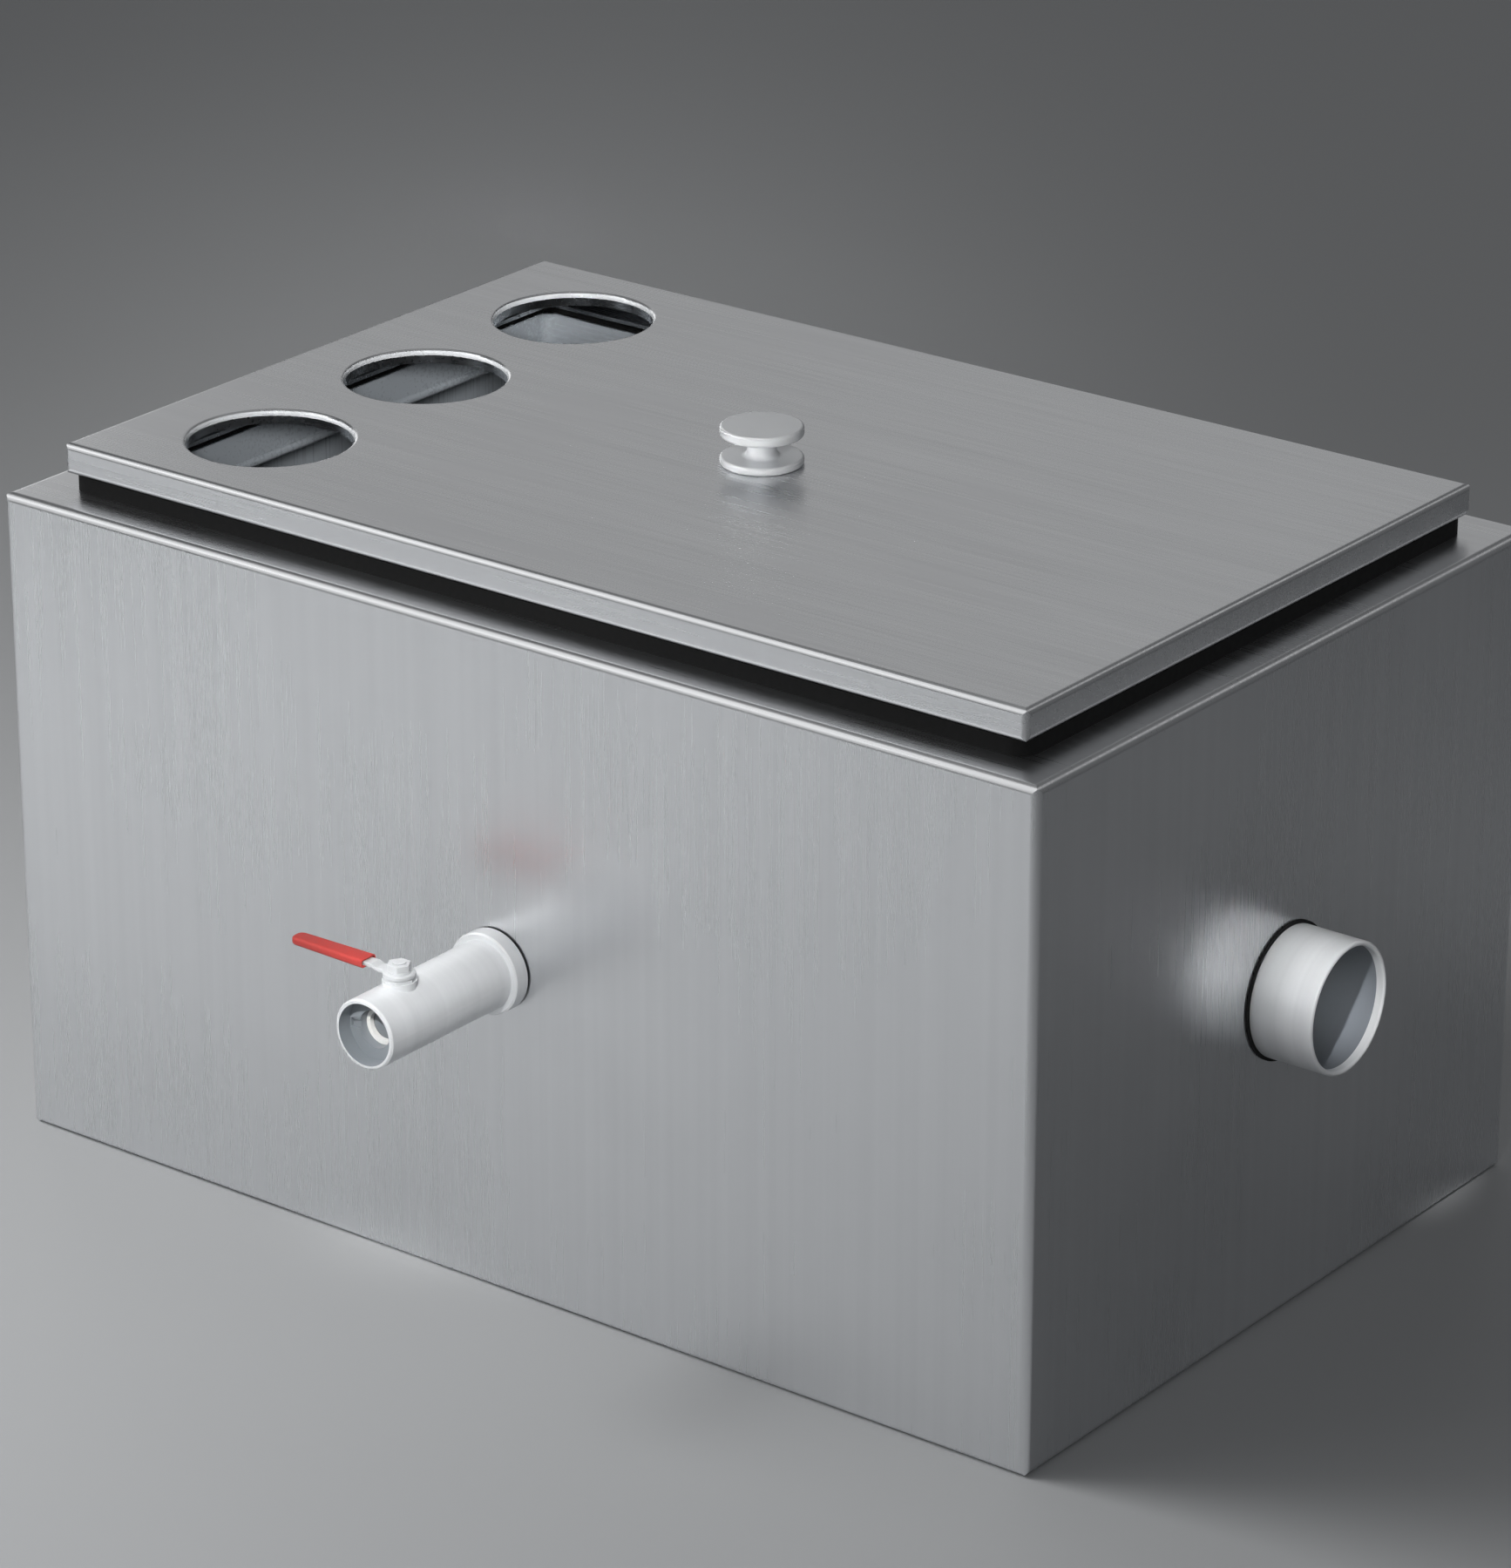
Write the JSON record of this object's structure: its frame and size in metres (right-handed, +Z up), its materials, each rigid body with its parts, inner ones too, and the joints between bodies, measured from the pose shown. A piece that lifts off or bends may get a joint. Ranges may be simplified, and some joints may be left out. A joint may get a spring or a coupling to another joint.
{
  "type": "grease trap",
  "caption": "Free-standing stainless grease trap: folded tank, lift-off lid with round inlets and a knob, strainer basket, baffle, outlet tee, and a ball valve with a red lever.",
  "frame": {"origin": "middle of the tank's base, on the surface it stands on", "axes": "+X towards the outlet, -Y towards the draw-off valve, +Z up"},
  "size_m": [0.634, 0.492, 0.3725],
  "materials": {
    "steel_sheet": "satin stainless sheet with a fine vertical grain",
    "turned_steel": "turned and drawn stainless, smoother than the sheet",
    "black_rubber": "matte black rubber",
    "white_polymer": "white low-friction polymer",
    "red_grip": "soft red vinyl sleeve"
  },
  "bodies": {
    "trap": {"tank_body": "steel_sheet", "tank_rim": "steel_sheet", "lid": "steel_sheet", "inlet_baffle": "steel_sheet", "basket_rails": "steel_sheet", "basket_frame": "steel_sheet", "basket_screen": "steel_sheet", "lid_knob": "turned_steel", "knob_washer": "turned_steel", "knob_screw": "turned_steel", "basket_handles": "turned_steel", "outlet_pipe": "turned_steel", "outlet_tee": "turned_steel", "valve_body": "turned_steel", "back_nut": "turned_steel", "valve_insert": "turned_steel", "gland_nut": "turned_steel", "lid_seal": "black_rubber", "outlet_seal": "black_rubber", "outer_wall_seal": "black_rubber", "inner_wall_seal": "black_rubber", "valve_seats": "white_polymer", "stem_packing": "white_polymer"},
    "lever_set": {"valve_ball": "turned_steel", "valve_stem": "turned_steel", "lever": "turned_steel", "lever_grip": "red_grip", "lever_spring_washer": "turned_steel", "lever_nut": "turned_steel"}
  },
  "joints": [
    {"name": "lever_turn", "type": "hinge", "parent": "trap", "child": "lever_set", "pos_m": [0, -0.267, 0.165], "axis": [0, 0, 1], "range_deg": [0, 90]}
  ]
}
